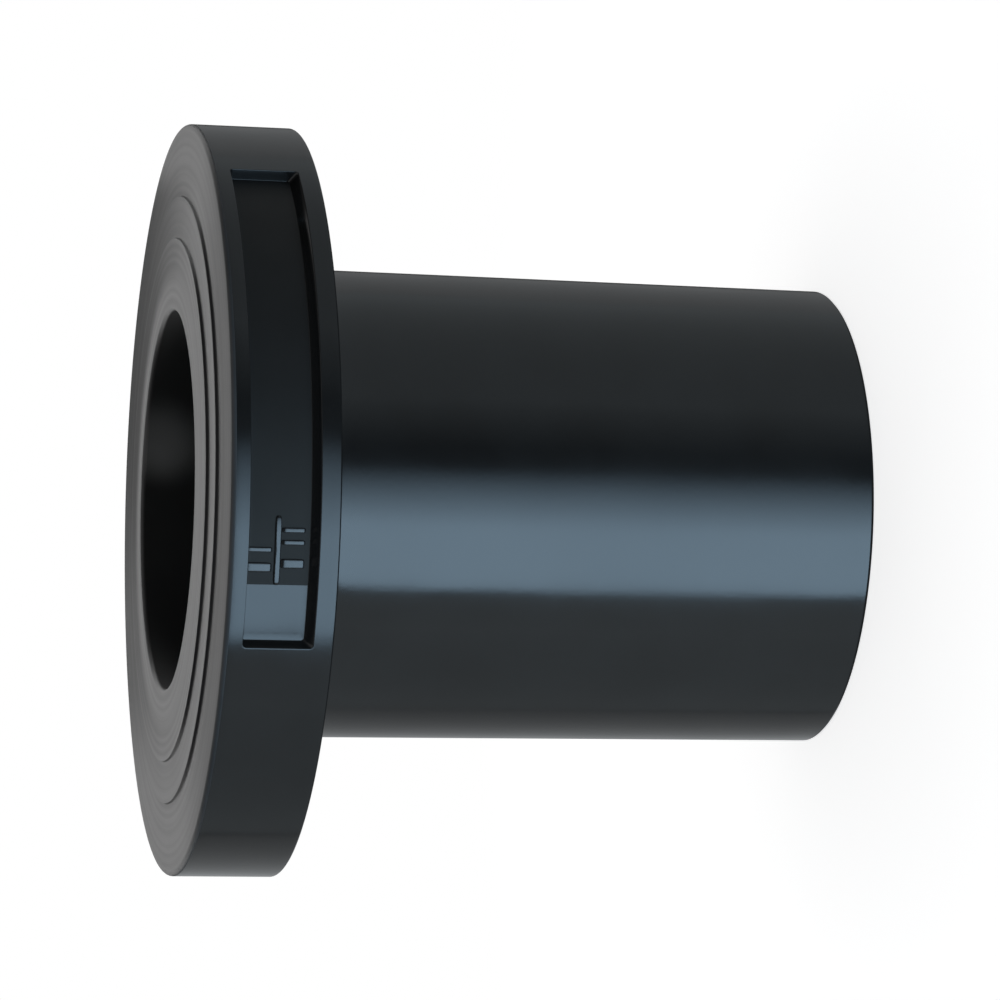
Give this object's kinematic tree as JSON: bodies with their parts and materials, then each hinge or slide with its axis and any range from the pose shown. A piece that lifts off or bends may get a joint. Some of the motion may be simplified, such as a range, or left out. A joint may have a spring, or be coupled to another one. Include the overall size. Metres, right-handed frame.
{
  "type": "hdpe stub end pipe flange",
  "caption": "Black polyethylene stub end: a plain tube spigot with a thick round collar, a stepped sealing face and a shallow label recess in the rim.",
  "frame": {"origin": "centre of the spigot's end, on the axis of the bore", "axes": "+Z along the bore towards the sealing face; the label recess is on the -Y side"},
  "size_m": [0.102, 0.102, 0.0907],
  "materials": {
    "black_hdpe": "satin, as moulded, with a turned sealing face"
  },
  "bodies": {
    "root": {"stub_end": "black_hdpe"}
  },
  "joints": []
}
